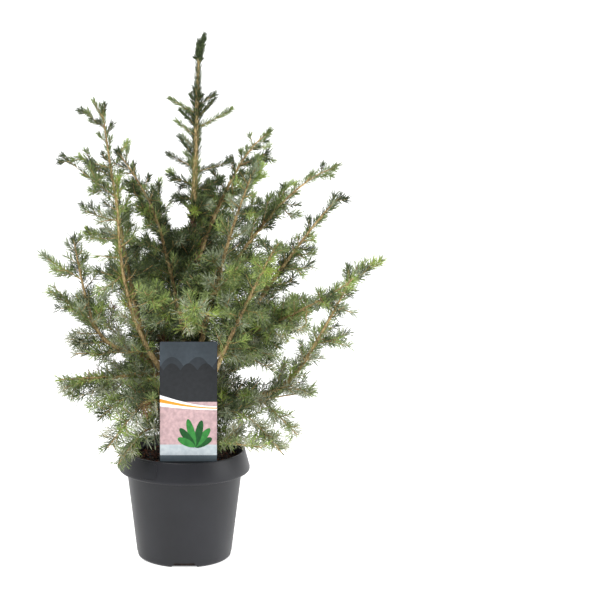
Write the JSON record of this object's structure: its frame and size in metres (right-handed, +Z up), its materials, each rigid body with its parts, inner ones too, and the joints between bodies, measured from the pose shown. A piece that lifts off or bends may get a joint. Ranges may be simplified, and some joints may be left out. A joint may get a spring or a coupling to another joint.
{
  "type": "potted serbian spruce",
  "caption": "Young conifer with upswept, irregular boughs and short dense needles, in a round black nursery pot with soil and a plain plant label.",
  "frame": {"origin": "middle of the pot's flat underside", "axes": "+Z up along the plant, -Y towards the side with the plant label, +X to the right as seen from that side"},
  "size_m": [0.5398, 0.4279, 0.8323],
  "materials": {
    "pot": "satin",
    "soil": "matte",
    "label": "satin",
    "bark": "matte",
    "needles": "satin"
  },
  "bodies": {
    "root": {"bough_front_left_inner": "bark", "bough_back_left_upper": "bark", "bough_back_middle": "bark", "bough_front_right_inner": "bark", "bough_back_right_outer": "bark", "bough_back_right_tall": "bark", "bough_back_right_upper": "bark", "bough_front_left_low": "bark", "bough_front_left_tall": "bark", "bough_front_left_upper": "bark", "bough_front_right_outer": "bark", "bough_front_right_tall": "bark", "bough_front_right_upper": "bark", "bough_left_low": "bark", "bough_left_outer": "bark", "bough_left_tall": "bark", "bough_right_outer": "bark", "bough_right_tall": "bark", "bough_right_upper": "bark", "foliage_front_left_inner": "needles", "foliage_back_left_low": "needles", "foliage_back_left_outer": "needles", "foliage_back_left_top": "needles", "foliage_back_left_upper": "needles", "foliage_back_low": "needles", "foliage_back_middle": "needles", "foliage_front_right_inner": "needles", "foliage_back_right_low": "needles", "foliage_back_right_outer": "needles", "foliage_back_right_tall": "needles", "foliage_back_right_top": "needles", "foliage_back_right_upper": "needles", "foliage_front_left_drooping": "needles", "foliage_front_left_low": "needles", "foliage_front_left_rim": "needles", "foliage_front_left_tall": "needles", "foliage_front_left_upper": "needles", "foliage_front_right_drooping": "needles", "foliage_front_right_outer": "needles", "foliage_front_right_rim": "needles", "foliage_front_right_tall": "needles", "foliage_front_right_upper": "needles", "foliage_front_upper": "needles", "foliage_leader_lower_needles": "needles", "foliage_leader_middle_needles": "needles", "foliage_leader_tip": "needles", "foliage_leader_upper_needles": "needles", "foliage_left_low": "needles", "foliage_left_middle": "needles", "foliage_left_outer": "needles", "foliage_left_tall": "needles", "foliage_right_drooping": "needles", "foliage_right_low": "needles", "foliage_right_outer": "needles", "foliage_right_tall": "needles", "foliage_right_upper": "needles", "plant_label": "label", "pot": "pot", "potting_soil": "soil", "trunk": "bark"}
  },
  "joints": []
}
